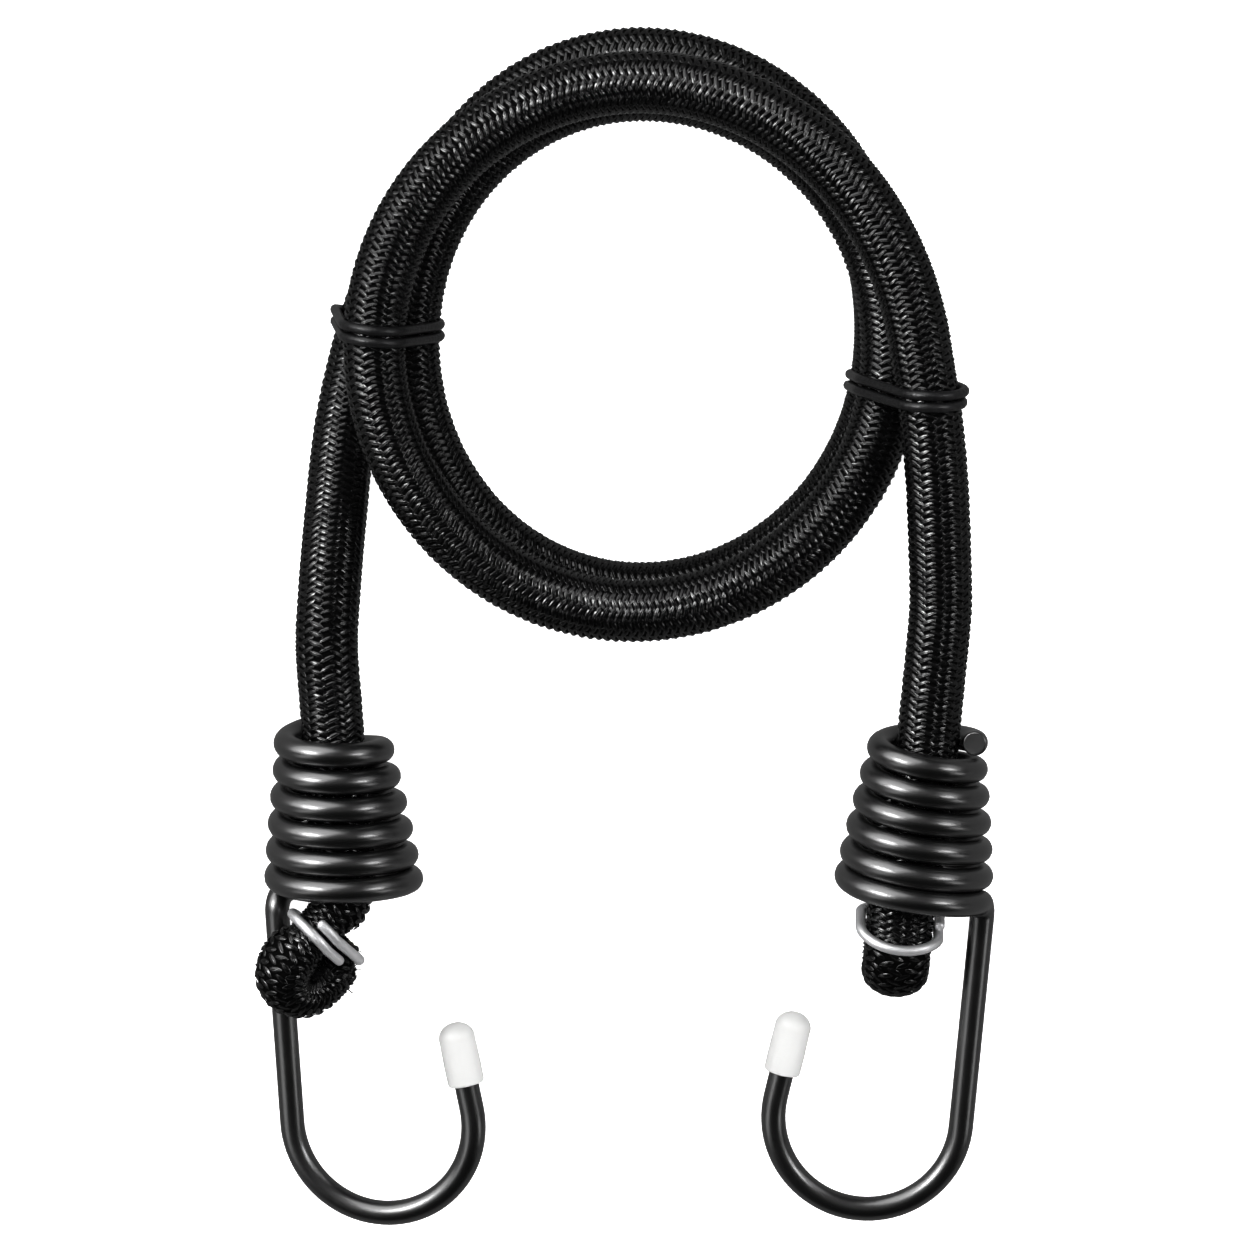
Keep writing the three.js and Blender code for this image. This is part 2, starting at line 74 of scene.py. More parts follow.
cordShape = {
    "diameter": 0.012,
    "restHeight": 0.0048,
    "layerRise": 0.01245,
    "tieLift": 0.0036,
    "loopCentre": (0.0006, 0.0809),
    "loopRadii": (  # at each quarter turn
        0.041, 0.0551, 0.0483, 0.0473, 0.0426, 0.0485, 0.0494, 0.0507, 0.0488, 0.0495, 0.0544, 0.076,
    ),
    "loopStart": 0.139,
    "loopEnd": 2.5,
    "climbStart": 0.75,
    "leftRun": (
        (-0.0431, 0.1016, 0.0076), (-0.0472, 0.0923, 0.0082), (-0.0502, 0.083, 0.0084),
        (-0.0525, 0.0742, 0.0089), (-0.054, 0.0666, 0.0102), (-0.055, 0.059, 0.0122),
        (-0.0557, 0.0513, 0.0148), (-0.0564, 0.0428, 0.0182), (-0.057, 0.0342, 0.0218),
    ),
    "rightRun": (
        (0.058, 0.059, 0.0313), (0.0586, 0.0505, 0.0292), (0.059, 0.041, 0.0268), (0.0592, 0.0315, 0.0247),
    ),
    "legThickness": 0.01,
    "legHalfPitch": 0.00525,
    "crimpWire": 0.002,
    "crimpPitch": 0.0026,
    "leftSplit": 0.089,  # where a run meets the loop, along Y
    "rightSplit": 0.0845,
    "joinGap": 0.0003,  # between one stretch's route and the next
    "joinLead": 0.012,  # straight part after a join
    "tailEase": 0.002,  # how far inside the crimp the tail starts to swell
    "arrive": 0.4,  # share of the way in which the cord swings into the coil's axis
    "blendRows": 6,
    "tangentStep": 1e-4,
    "samples": {
        "leg": 30, "fold": 40, "rise": 120, "coil": 60, "leftRun": 360, "loop": 1600, "rightRun": 260,
    },
}

hookShape = {
    "wire": 0.0047,
    "narrowRadius": 0.0091,
    "flare": 0.004,
    "flareTurns": 5.5,
    "flareCurve": 1.25,
    "pitch": 0.00515,
    "mouthLift": 0.0005,  # the last turn lies close against the one before
    "mouthTurns": (0.2, 1),
    "neckRadius": 0.0036,
    "shank": 0.0442,
    "bendRadius": 0.018,
    "tipLean": radians(8),
    "tip": 0.0154,
    "stepsPerTurn": 48,
    "neckSteps": 10,
    "shankSteps": 8,
    "bendSteps": 48,
    "tipSteps": 4,
    "wireFaces": 20,
    "endRounding": 0.0004,
    "shankClearance": 0.0003,
}

endShape = {  # the coil's place, the cord's section in the fold, and the crimp
    "left": {
        "mouth": (-0.0543, -0.0242, 0.015018), "lean": radians(3.8), "tilt": radians(10.63),
        "spin": radians(165), "turns": 6.15, "exit": 0.014, "leave": 0.45, "swellBy": 0.15,
        "legWidth": 0.012, "crimpWidth": 0.0098, "squeeze": 0.82,
        "foldLean": radians(46), "foldRise": radians(10), "foldTwist": radians(40), "foldLift": 0.0067,
        "foldRun": 0.0065, "tailRun": 0.0024, "tailSqueeze": 0.5, "tailFree": 0.0008, "tailSlant": 0.0022,
        "crimp": (-0.0036, -0.0076), "crimpStart": radians(86), "crimpTurns": 1.19, "crimpTrim": 0.0012,
        "crimpSlant": 0,
    },
    "right": {
        "mouth": (0.0541, -0.024, 0.014212), "lean": radians(-5.4), "tilt": radians(11.002),
        "spin": 0, "turns": 6, "exit": 0.014, "leave": 0.4, "swellBy": 0.6,
        "legWidth": 0.0128, "crimpWidth": 0.0128, "squeeze": 0.88,
        "foldLean": 0, "foldRise": 0, "foldTwist": pi / 2, "foldLift": 0,
        "foldRun": 0.0046, "tailRun": 0.0016, "tailSqueeze": 0.88, "tailFree": 0.003, "tailSlant": 0,
        "crimp": (-0.0019, -0.0054), "crimpStart": radians(78), "crimpTurns": 1.08, "crimpTrim": 0,
        "crimpSlant": 0.003,
    },
}

wideRadius = hookShape["narrowRadius"] + hookShape["flare"]
neckAngle = atan2(hookShape["neckRadius"], wideRadius)
shankOffset = hypot(wideRadius, hookShape["neckRadius"])


def smoothStep(x, low, high):
    t = min(max((x - low) / (high - low), 0), 1)
    return t * t * (3 - 2 * t)


def spanCurve(a, b, c, d, t):
    # cubic from b to c, with its slopes from their neighbours
    m, n = (c - a) / 2, (d - b) / 2
    return (2 * b - 2 * c + m + n) * t ** 3 + (3 * c - 3 * b - 2 * m - n) * t ** 2 + m * t + b


def curveThrough(points, count):
    points = [Vector(p) for p in points]
    padded = [2 * points[0] - points[1], *points, 2 * points[-1] - points[-2]]
    spans = len(points) - 1
    result = []
    for i in range(count + 1):
        place = min(spans * i / count, spans - 1e-9)
        k = floor(place)
        result.append(spanCurve(*padded[k:k + 4], place - k))
    return result


def loopRadius(turn):
    knots = cordShape["loopRadii"]
    k = floor(4 * turn)
    near = (knots[min(max(i, 0), len(knots) - 1)] for i in range(k - 1, k + 3))
    return spanCurve(*near, 4 * turn - k)


def loopPoint(turn):
    angle = pi - 2 * pi * turn
    layer = floor(turn) + smoothStep(turn % 1, cordShape["climbStart"], 1)
    height = cordShape["restHeight"] + layer * cordShape["layerRise"] + cordShape["tieLift"] * cos(angle) ** 2
    x, y = cordShape["loopCentre"]
    return Vector((x + loopRadius(turn) * cos(angle), y + loopRadius(turn) * sin(angle), height))


def loopTangent(turn):
    step = cordShape["tangentStep"]
    return (loopPoint(turn + step) - loopPoint(turn - step)).normalized()


def coilPoint(turnsLeft):
    angle = neckAngle + 2 * pi * turnsLeft
    share = min(turnsLeft / hookShape["flareTurns"], 1) ** hookShape["flareCurve"]
    radius = hookShape["narrowRadius"] + hookShape["flare"] * (1 - share)
    lift = hookShape["mouthLift"] * (1 - smoothStep(turnsLeft, *hookShape["mouthTurns"]))
    return Vector((radius * cos(angle), hookShape["pitch"] * turnsLeft + lift, radius * sin(angle)))


def coilFrame(end):
    # at the coil's mouth, with Y along the coil's axis
    place = Matrix.Translation(end["mouth"])
    return place @ Matrix.Rotation(end["lean"], 4, "Z") @ Matrix.Rotation(end["tilt"], 4, "X")


def foldFrame(end):
    lean, rise, twist = end["foldLean"], end["foldRise"], end["foldTwist"]
    level = Vector((cos(lean), -sin(lean), 0))
    along = Vector((-sin(lean) * cos(rise), -cos(lean) * cos(rise), sin(rise)))
    across = level * cos(twist) - along.cross(level) * sin(twist)
    height = -cordShape["crimpWire"] / 2
    if end["foldLift"]:
        shankTop = hookShape["wire"] / 2 - shankOffset * sin(end["spin"])
        height = shankTop + hookShape["shankClearance"] + end["foldLift"]
    centre = Vector((*end["crimp"], height - end["foldRun"] * along.z))
    return {"along": along, "across": across, "face": along.cross(across), "centre": centre}


def endTop(end):
    return hookShape["pitch"] * end["turns"] + hookShape["wire"]


def bezier(a, b, c, d, t):
    u = 1 - t
    return a * u ** 3 + b * (3 * u * u * t) + c * (3 * u * t * t) + d * t ** 3


def endRoute(end):
    # from the tail's cut, round the fold and up through the coil, with the section's width and thickness
    fold = foldFrame(end)
    place = coilFrame(end)
    half, thickness = cordShape["legHalfPitch"], cordShape["legThickness"]
    legWidth, crimpWidth, squeeze = end["legWidth"], end["crimpWidth"], end["squeeze"]
    foldRun, tailRun, exitAt = end["foldRun"], end["tailRun"], end["exit"]
    full, samples = cordShape["diameter"], cordShape["samples"]
    crimpReach = (cordShape["crimpWire"] + cordShape["crimpPitch"] * end["crimpTurns"]) / 2

    def at(acrossBy, alongBy):
        return fold["centre"] + fold["across"] * acrossBy + fold["along"] * alongBy

    def leg(sign, alongBy):
        pressed, low, high = squeeze, crimpReach, foldRun
        if sign > 0:
            pressed = end["tailSqueeze"]
            low, high = crimpReach - cordShape["tailEase"], crimpReach + end["tailFree"]
        free = smoothStep(alongBy, low, high)
        share = pressed + (1 - pressed) * free
        wide = crimpWidth + (legWidth - crimpWidth) * free
        return at(sign * share * half, alongBy), wide, thickness * share

    count = samples["leg"]
    angles = [pi * i / samples["fold"] for i in range(samples["fold"])]
    stations = [leg(1, -tailRun + (tailRun + foldRun) * i / count) for i in range(count)]
    stations += [(at(half * cos(a), foldRun + half * sin(a)), legWidth, thickness) for a in angles]
    stations += [leg(-1, foldRun - (foldRun + crimpReach) * i / count) for i in range(count)]
    start, _, _ = leg(-1, -crimpReach)
    stop = Vector((0, exitAt, 0))
    distance = (stop - start).length
    leave, arrive = end["leave"] * distance, cordShape["arrive"] * distance
    for i in range(samples["rise"]):
        t = i / samples["rise"]
        swell = smoothStep(t, 0, end["swellBy"])
        point = bezier(start, start - fold["along"] * leave, Vector((0, exitAt - arrive, 0)), stop, t)
        stations.append((point, crimpWidth + (full - crimpWidth) * swell,
                         thickness * squeeze + (full - thickness * squeeze) * swell))
    top, count = endTop(end), samples["coil"]
    stations += [(Vector((0, exitAt + (top - exitAt) * i / count, 0)), full, full) for i in range(count + 1)]
    face = place.to_3x3() @ fold["face"]
    return [(place @ point, face, wide, thick) for point, wide, thick in stations]


def runStart(end):
    place, gap = coilFrame(end), cordShape["joinGap"]
    return [place @ Vector((0, endTop(end) + extra, 0)) for extra in (gap, gap + cordShape["joinLead"])]


def wholeRoute():
    full = (up, cordShape["diameter"], cordShape["diameter"])
    start, stop = cordShape["loopStart"], cordShape["loopEnd"]
    loopIn, loopOut = loopTangent(start), loopTangent(stop)
    gap, lead, samples = (cordShape[key] for key in ("joinGap", "joinLead", "samples"))
    leftJoin = loopPoint(start) - loopIn * gap
    rightJoin = loopPoint(stop) + loopOut * gap
    leftRun = [leftJoin, leftJoin - loopIn * lead, *cordShape["leftRun"],
               *reversed(runStart(endShape["left"]))]
    rightRun = [rightJoin, rightJoin + loopOut * lead, *cordShape["rightRun"],
                *reversed(runStart(endShape["right"]))]
    count = samples["loop"]
    loop = [loopPoint(start + (stop - start) * i / count) for i in range(count + 1)]
    route = endRoute(endShape["left"])
    marks = {"leftTop": len(route)}
    route += [(p, *full) for p in reversed(curveThrough(leftRun, samples["leftRun"]))]
    route += [(p, *full) for p in loop]
    marks["rightRun"] = len(route)
    route += [(p, *full) for p in curveThrough(rightRun, samples["rightRun"])]
    marks["rightTop"] = len(route)
    route += list(reversed(endRoute(endShape["right"])))
    return route, marks


# Braid: rows of stitches in columns round the cord, every other column half a pitch further on

braid = {
    "columns": 18,
    "pitch": 0.00146,
    "stitchLength": 0.0031,
    "stitchWidth": 0.00108,
    "stitchHeight": 0.00048,
    "slant": radians(22),
    "bed": 0.0004,  # depth of the stitches' feet below the cord's surface
    "floorClearance": 0.0001,
    "footRoom": 1.1,  # share of a stitch's height that is kept free below it
    "grid": (5, 3),  # points along a stitch and across it
    "taper": 0.86,
    "belly": 0.6,
    "leanSpread": (0.85, 1.15),
    "lengthSpread": (0.97, 1.05),
    "widthSpread": (0.95, 1.05),
    "heightSpread": (0.9, 1.08),
    "tangentRows": 2,
    "seed": 7,
}


def cordRows():
    route, marks = wholeRoute()
    lengths = [0]
    for a, b in zip(route, route[1:]):
        lengths.append(lengths[-1] + (b[0] - a[0]).length)
    step = braid["pitch"] / 2
    count = floor(lengths[-1] / step)
    rows = []
    for i in range(count + 1):
        s = i * step
        k = min(bisect_right(lengths, s) - 1, len(route) - 2)
        span = lengths[k + 1] - lengths[k]
        t = (s - lengths[k]) / span if span else 0
        a, b = route[k], route[k + 1]
        rows.append({
            "s": s,
            "point": a[0].lerp(b[0], t),
            "face": a[1],
            "width": a[2] + (b[2] - a[2]) * t,
            "thickness": a[3] + (b[3] - a[3]) * t,
        })
    side, reach = rows[0]["face"].copy(), braid["tangentRows"]
    for i, row in enumerate(rows):
        ahead, behind = rows[min(i + reach, count)]["point"], rows[max(i - reach, 0)]["point"]
        row["tangent"] = (ahead - behind).normalized()
        side = (side - row["tangent"] * side.dot(row["tangent"])).normalized()
        row["side"] = side.copy()
        row["other"] = row["tangent"].cross(side)
    print("cord", round(lengths[-1], 4), "m in", len(rows), "rows")
    return rows, {name: lengths[i] for name, i in marks.items()}


def sectionPoint(row, angle, depth):
    # a point of the cord's surface, drawn in by depth, and its outward direction
    ray = row["side"] * cos(angle) + row["other"] * sin(angle)
    wide = (row["face"] - row["tangent"] * row["face"].dot(row["tangent"])).normalized()
    thick = row["tangent"].cross(wide)
    a, b = row["width"] / 2 - depth, row["thickness"] / 2 - depth
    u, v = ray.dot(wide), ray.dot(thick)
    reach = 1 / sqrt((u / a) ** 2 + (v / b) ** 2)
    outward = (wide * (u / a ** 2) + thick * (v / b ** 2)).normalized()
    return row["point"] + ray * reach, outward


def braidMesh(name, rows, firstRow, closeStart, closeEnd):
    # a tube under the stitches, painted darker and duller than the yarn as painted shade in the gaps between
    # stitches, and one loose point for each stitch
    rng = random.Random(braid["seed"])
    columns = braid["columns"]
    vertices, faces = [], []
    outward, across, scale, tone, seat = [], [], [], [], []

    def add(point, out=up, way=Vector((1, 0, 0)), size=(1, 1, 1), shade=0.5, isSeat=False):
        vertices.append(point)
        outward.append(out)
        across.append(way)
        scale.append(size)
        tone.append(shade)
        seat.append(isSeat)

    tubeRows = rows[::2] if len(rows) % 2 else rows[::2] + rows[-1:]
    low = braid["floorClearance"]
    for row in tubeRows:
        for k in range(columns):
            point, out = sectionPoint(row, 2 * pi * k / columns, braid["bed"])
            point.z = max(point.z, low)
            add(point, out)
    for i in range(len(tubeRows) - 1):
        for k in range(columns):
            a, b = i * columns + k, i * columns + (k + 1) % columns
            faces.append((a, b, b + columns, a + columns))
    for wanted, first in ((closeStart, 0), (closeEnd, (len(tubeRows) - 1) * columns)):
        if wanted:
            ring = list(range(first, first + columns))
            faces.append(tuple(reversed(ring)) if first == 0 else tuple(ring))

    for i, row in enumerate(rows):
        for k in range(columns):
            if (i + firstRow + k) % 2:
                continue
            angle = 2 * pi * k / columns
            point, out = sectionPoint(row, angle, braid["bed"])
            point.z = max(point.z, low + braid["footRoom"] * braid["stitchHeight"] * max(0, -out.z))
            around = row["tangent"].cross(out).normalized()
            lean = braid["slant"] * (1 if k % 2 else -1) * rng.uniform(*braid["leanSpread"])
            way = around * cos(lean) + row["tangent"] * sin(lean)
            girth = (row["width"] + row["thickness"]) / (2 * cordShape["diameter"])
            size = (girth * rng.uniform(*braid["lengthSpread"]), rng.uniform(*braid["widthSpread"]),
                    rng.uniform(*braid["heightSpread"]))
            add(point, out, way, size, rng.random(), True)

    mesh = bpy.data.meshes.new(name)
    mesh.from_pydata(vertices, [], faces)
    for key, kind, values in (
        ("outward", "FLOAT_VECTOR", outward), ("across", "FLOAT_VECTOR", across),
        ("size", "FLOAT_VECTOR", scale), ("tone", "FLOAT", tone), ("seat", "BOOLEAN", seat),
    ):
        attribute = mesh.attributes.new(key, kind, "POINT")
        if kind == "FLOAT_VECTOR":
            attribute.data.foreach_set("vector", [x for v in values for x in v])
        else:
            attribute.data.foreach_set("value", values)
    return mesh


# Geometry node trees

class Tree:
    def __init__(self, name, inputs):
        self.group = bpy.data.node_groups.new(name, "GeometryNodeTree")
        face = self.group.interface
        self.keys = {}
        for label, kind in (("Geometry", "NodeSocketGeometry"), *inputs):
            self.keys[label] = face.new_socket(label, in_out="INPUT", socket_type=kind).identifier
        face.new_socket("Geometry", in_out="OUTPUT", socket_type="NodeSocketGeometry")
        self.entry = self.group.nodes.new("NodeGroupInput").outputs
        self.exit = self.group.nodes.new("NodeGroupOutput").inputs[0]

    def add(self, kind, settings=None, **sockets):
        node = self.group.nodes.new(kind)
        for key, value in (settings or {}).items():
            setattr(node, key, value)
        for key, value in sockets.items():
            label = key.replace("_", " ")
            found = [s for s in node.inputs if s.enabled and s.name == label] or [node.inputs[label]]
            values = value if isinstance(value, list) else [value]
            if len(found) < len(values):
                found = found[:1] * len(values)  # one socket that takes several links
            for socket, one in zip(found, values):
                if isinstance(one, bpy.types.NodeSocket):
                    self.group.links.new(one, socket)
                else:
                    socket.default_value = one
        return next(s for s in node.outputs if s.enabled)

    def attribute(self, name, kind="FLOAT"):
        return self.add("GeometryNodeInputNamedAttribute", {"data_type": kind}, Name=name)

    def math(self, operation, *values):
        return self.add("ShaderNodeMath", {"operation": operation}, Value=list(values))

    def finish(self, geometry):
        self.group.links.new(geometry, self.exit)


def applyTree(tree, mesh, name, **values):
    piece = bpy.data.objects.new(name, mesh)
    bpy.context.collection.objects.link(piece)
    modifier = piece.modifiers.new("shape", "NODES")
    modifier.node_group = tree.group
    for label, value in values.items():
        modifier[tree.keys[label]] = value
    depsgraph = bpy.context.evaluated_depsgraph_get()
    result = bpy.data.meshes.new_from_object(piece.evaluated_get(depsgraph))
    piece.modifiers.remove(modifier)
    piece.data = result
    result.name = name
    return piece


def makeBraidTree():
    tree = Tree("braid", (
        ("stitchLength", "NodeSocketFloat"), ("stitchWidth", "NodeSocketFloat"),
        ("stitchHeight", "NodeSocketFloat"), ("yarn", "NodeSocketMaterial"), ("bed", "NodeSocketMaterial"),
    ))
    entry = tree.entry
    isSeat = tree.attribute("seat", "BOOLEAN")
    parted = tree.add("GeometryNodeSeparateGeometry", None, Geometry=entry["Geometry"], Selection=isSeat)
    pointsAlong, pointsAcross = braid["grid"]
    grid = tree.add("GeometryNodeMeshGrid", None, Size_X=2.0, Size_Y=2.0, Vertices_X=pointsAlong,
                    Vertices_Y=pointsAcross)
    place = tree.add("GeometryNodeInputPosition")
    stored = tree.add("GeometryNodeStoreNamedAttribute", {"data_type": "FLOAT_VECTOR", "domain": "POINT"},
                      Geometry=grid, Name="yarn", Value=place)
    apart = tree.add("ShaderNodeSeparateXYZ", None, Vector=place).node.outputs
    x, y = apart["X"], apart["Y"]
    fall = tree.math("SUBTRACT", 1.0, tree.math("MULTIPLY", tree.math("MULTIPLY", x, x), braid["taper"]))
    belly = tree.math("POWER", fall, braid["belly"])
    crown = tree.math("MULTIPLY", fall, tree.math("SUBTRACT", 1.0, tree.math("MULTIPLY", y, y)))
    halfLength = tree.math("MULTIPLY", entry["stitchLength"], 0.5)
    halfWidth = tree.math("MULTIPLY", entry["stitchWidth"], 0.5)
    shape = tree.add(
        "ShaderNodeCombineXYZ", None,
        X=tree.math("MULTIPLY", x, halfLength),
        Y=tree.math("MULTIPLY", tree.math("MULTIPLY", y, belly), halfWidth),
        Z=tree.math("MULTIPLY", crown, entry["stitchHeight"]),
    )
    stitch = tree.add("GeometryNodeSetPosition", None, Geometry=stored, Position=shape)
    turn = tree.add("FunctionNodeAxesToRotation", {"primary_axis": "Z", "secondary_axis": "X"},
                    Primary_Axis=tree.attribute("outward", "FLOAT_VECTOR"),
                    Secondary_Axis=tree.attribute("across", "FLOAT_VECTOR"))
    laid = tree.add("GeometryNodeInstanceOnPoints", None, Points=parted, Instance=stitch, Rotation=turn,
                    Scale=tree.attribute("size", "FLOAT_VECTOR"))
    real = tree.add("GeometryNodeRealizeInstances", None, Geometry=laid)
    yarn = tree.add("GeometryNodeSetMaterial", None, Geometry=real, Material=entry["yarn"])
    tube = parted.node.outputs["Inverted"]
    bed = tree.add("GeometryNodeSetMaterial", None, Geometry=tube, Material=entry["bed"])
    both = tree.add("GeometryNodeJoinGeometry", None, Geometry=[bed, yarn])
    tree.finish(tree.add("GeometryNodeSetShadeSmooth", None, Geometry=both))
    return tree


def makeWireTree():
    tree = Tree("wire", (
        ("radius", "NodeSocketFloat"), ("faces", "NodeSocketInt"), ("finish", "NodeSocketMaterial"),
    ))
    entry = tree.entry
    line = tree.add("GeometryNodeMeshToCurve", None, Mesh=entry["Geometry"])
    ring = tree.add("GeometryNodeCurvePrimitiveCircle", None, Resolution=entry["faces"],
                    Radius=entry["radius"])
    tube = tree.add("GeometryNodeCurveToMesh", None, Curve=line, Profile_Curve=ring,
                    Scale=tree.attribute("girth"), Fill_Caps=True)
    smooth = tree.add("GeometryNodeSetShadeSmooth", None, Geometry=tube)
    real = tree.add("GeometryNodeRealizeInstances", None, Geometry=smooth)
    tree.finish(tree.add("GeometryNodeSetMaterial", None, Geometry=real, Material=entry["finish"]))
    return tree


wireEnds = {"angles": (0, 25, 50, 70, 85), "clear": 1.2}  # steps of the rounding, and its room along the wire


def wireMesh(name, points, diameter, rounding):
    # a line with the girth of the wire at each point, drawn in towards the ends
    radius = diameter / 2
    steps = [radians(a) for a in wireEnds["angles"]]

    def rounded(corner, inside):
        way = (corner - inside).normalized()
        return [(corner - way * rounding * (1 - sin(a)), 1 - rounding / radius * (1 - cos(a))) for a in steps]

    head, tail = rounded(points[0], points[1]), rounded(points[-1], points[-2])
    room = wireEnds["clear"] * rounding
    clear = [p for p in points[1:-1] if (p - points[0]).length > room and (p - points[-1]).length > room]
    line = list(reversed(head)) + [(p, 1) for p in clear] + tail
    mesh = bpy.data.meshes.new(name)
    mesh.from_pydata([p for p, _ in line], [(i, i + 1) for i in range(len(line) - 1)], [])
    mesh.attributes.new("girth", "FLOAT", "POINT").data.foreach_set("value", [g for _, g in line])
    return mesh


# Finishes

class Signal:
    # a shader socket that takes part in sums
    def __init__(self, finish, socket):
        self.finish = finish
        self.socket = socket

    def math(self, operation, *values):
        return self.finish.add("ShaderNodeMath", {"operation": operation}, Value=list(values))

    def __add__(self, other):
        return self.math("ADD", self, other)

    def __radd__(self, other):
        return self.math("ADD", other, self)

    def __sub__(self, other):
        return self.math("SUBTRACT", self, other)

    def __rsub__(self, other):
        return self.math("SUBTRACT", other, self)

    def __mul__(self, other):
        return self.math("MULTIPLY", self, other)

    def __rmul__(self, other):
        return self.math("MULTIPLY", other, self)

    def __pow__(self, other):
        return self.math("POWER", self, other)

    def __abs__(self):
        return self.math("ABSOLUTE", self)

    def __getitem__(self, name):
        return Signal(self.finish, self.socket.node.outputs[name])


class Finish:
    def __init__(self, name, world=None, **fixed):
        self.material = world or bpy.data.materials.new(name)
        self.material.use_nodes = True
        self.tree = self.material.node_tree
        self.shader = next(n for n in self.tree.nodes if n.type in ("BSDF_PRINCIPLED", "BACKGROUND"))
        self.put(self.shader, fixed)

    def put(self, node, sockets):
        for key, value in sockets.items():
            label = key.replace("_", " ")
            found = [s for s in node.inputs if s.enabled and s.name == label]
            values = value if isinstance(value, list) else [value]
            for socket, one in zip(found, values):
                if isinstance(one, Signal):
                    self.tree.links.new(one.socket, socket)
                else:
                    socket.default_value = one

    def add(self, kind, settings=None, **sockets):
        node = self.tree.nodes.new(kind)
        for key, value in (settings or {}).items():
            if key == "stops":
                ramp = node.color_ramp.elements
                while len(ramp) < len(value):
                    ramp.new(0.5)
                for element, (position, colour) in zip(ramp, value):
                    element.position = position
                    element.color = (*colour, 1)
            else:
                setattr(node, key, value)
        self.put(node, sockets)
        return Signal(self, next(s for s in node.outputs if s.enabled))

    def noise(self, scale, detail=3):
        place = self.add("ShaderNodeTexCoord")["Object"]
        return self.add("ShaderNodeTexNoise", None, Vector=place, Scale=scale, Detail=detail)

    def mix(self, factor, first, second):
        return self.add("ShaderNodeMix", {"data_type": "RGBA"}, Factor=factor, A=(*first, 1), B=(*second, 1))

    def bump(self, height, distance):
        self.shape(Normal=self.add("ShaderNodeBump", None, Height=height, Distance=distance, Strength=1.0))

    def shape(self, **sockets):
        self.put(self.shader, sockets)


# endFade sets how sharply each stitch darkens towards its ends: painted shade where the stitch dives under
# its neighbours
yarnLook = {
    "dark": (0.001, 0.001, 0.0011), "light": (0.0034, 0.0034, 0.0036), "leastTone": 0.35, "endFade": 3.0,
    "specular": 0.95, "roughness": 0.1, "toneRoughness": 0.05, "wanderRoughness": 0.04,
    "filaments": 9.5, "filamentDepth": 0.00004, "filamentHeight": 0.25, "wander": 0.22, "wanderScale": 2.6,
    "partingSlope": 5.0, "partingHeight": 1.2,
}


def makeYarn():
    look = yarnLook
    yarn = Finish("braidYarn", Specular_IOR_Level=look["specular"])
    place = yarn.add("ShaderNodeAttribute", {"attribute_name": "yarn"})["Vector"]
    tone = yarn.add("ShaderNodeAttribute", {"attribute_name": "tone"})["Fac"]
    apart = yarn.add("ShaderNodeSeparateXYZ", None, Vector=place)
    x, y = apart["X"], apart["Y"]
    wander = yarn.add("ShaderNodeTexNoise", None, Vector=place, Scale=look["wanderScale"], Detail=2.0)
    ridges = y.math("SINE", (y + look["wander"] * wander + tone) * look["filaments"])
    parting = y.math("MINIMUM", abs(y) * look["partingSlope"], 1.0)
    # painted shade: the stitch's colour goes dark towards its ends
    endShadeMask = 1 - abs(x) ** look["endFade"]
    shade = look["leastTone"] + (1 - look["leastTone"]) * tone
    yarn.shape(
        Base_Color=yarn.mix(shade * endShadeMask, look["dark"], look["light"]),
        Roughness=look["roughness"] + look["toneRoughness"] * tone + look["wanderRoughness"] * wander,
    )
    yarn.bump(ridges * look["filamentHeight"] + parting * look["partingHeight"], look["filamentDepth"])
    return yarn.material


hookLook = {
    "dark": (0.0012, 0.0012, 0.0013), "light": (0.003, 0.003, 0.0032), "roughness": (0.3, 0.08),
    "coat": (0.45, 0.3), "waves": 220, "specks": 1600, "speckHeight": 0.3, "depth": 0.00003,
}


def makeHookCoat():
    look = hookLook
    coat = Finish("hookCoat", IOR=1.95, Specular_IOR_Level=0.75, Coat_IOR=1.8, Coat_Roughness=0.25)
    waves = coat.noise(look["waves"], 2)
    specks = coat.noise(look["specks"], 2)
    coat.shape(
        Base_Color=coat.mix(specks, look["dark"], look["light"]),
        Roughness=look["roughness"][0] + look["roughness"][1] * waves,
        Coat_Weight=look["coat"][0] + look["coat"][1] * waves,
    )
    coat.bump(waves + look["speckHeight"] * specks, look["depth"])
    return coat.material


vinylLook = {
    "dark": (0.65, 0.65, 0.644), "light": (0.69, 0.69, 0.684), "roughness": (0.42, 0.16),
    "broad": 140, "fine": 1500, "depth": 0.00005,
}
steelLook = {
    "dark": (0.7, 0.7, 0.71), "light": (0.88, 0.88, 0.89), "roughness": (0.34, 0.2),
    "broad": 500, "fine": 2400, "depth": 0.00004,
}


def makeMottled(name, look, **fixed):
    # broad clouds of colour, and fine grain in the roughness
    finish = Finish(name, **fixed)
    broad = finish.noise(look["broad"])
    fine = finish.noise(look["fine"], 2)
    finish.shape(
        Base_Color=finish.mix(broad, look["dark"], look["light"]),
        Roughness=look["roughness"][0] + look["roughness"][1] * fine,
    )
    finish.bump(fine + broad, look["depth"])
    return finish.material


